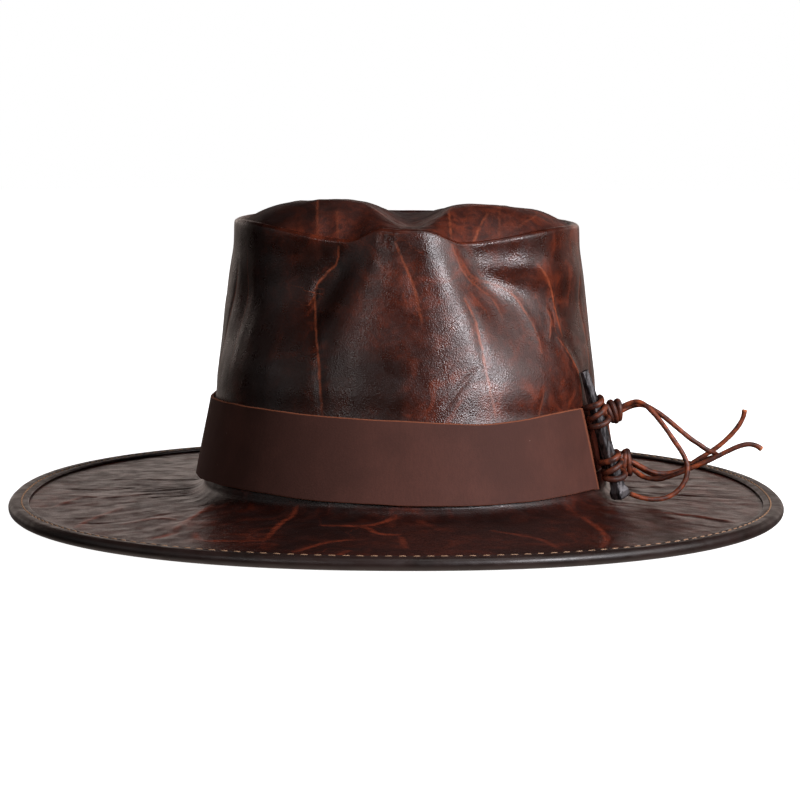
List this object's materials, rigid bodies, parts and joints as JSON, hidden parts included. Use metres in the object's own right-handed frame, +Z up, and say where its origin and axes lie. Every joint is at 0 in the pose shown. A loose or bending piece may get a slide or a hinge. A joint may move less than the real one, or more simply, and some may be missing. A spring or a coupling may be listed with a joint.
{
  "type": "leather hat",
  "caption": "Wide-brimmed dark leather hat with a pinched and creased crown, a rolled brim binding, a plain band and an old nail tied on with lace.",
  "frame": {"origin": "middle of the hat's footprint, on the surface that the brim's rim lies on", "axes": "+Y towards the back of the hat, so that the pinched front of the crown faces -Y; +Z up; +X towards the side that carries the nail"},
  "size_m": [0.35, 0.385, 0.1386],
  "materials": {
    "crown_leather": "semi-gloss, mottled red-brown with orange creases",
    "brim_leather": "semi-gloss, mottled dark brown",
    "binding_leather": "satin, smooth dark brown",
    "band_leather": "matte grey-brown with a tan raw edge",
    "nail_iron": "oxidised, dull",
    "lace_leather": "satin, tan cut ends"
  },
  "bodies": {
    "root": {"crown": "crown_leather", "brim": "brim_leather", "brim_binding": "binding_leather", "hat_band": "band_leather", "nail": "nail_iron", "upper_lashing": "lace_leather", "lower_lashing": "lace_leather", "upper_knot": "lace_leather", "lower_knot": "lace_leather", "bow_loop_front": "lace_leather", "bow_loop_back": "lace_leather", "lace_tail_upper": "lace_leather", "lace_tail_lower": "lace_leather"}
  },
  "joints": []
}
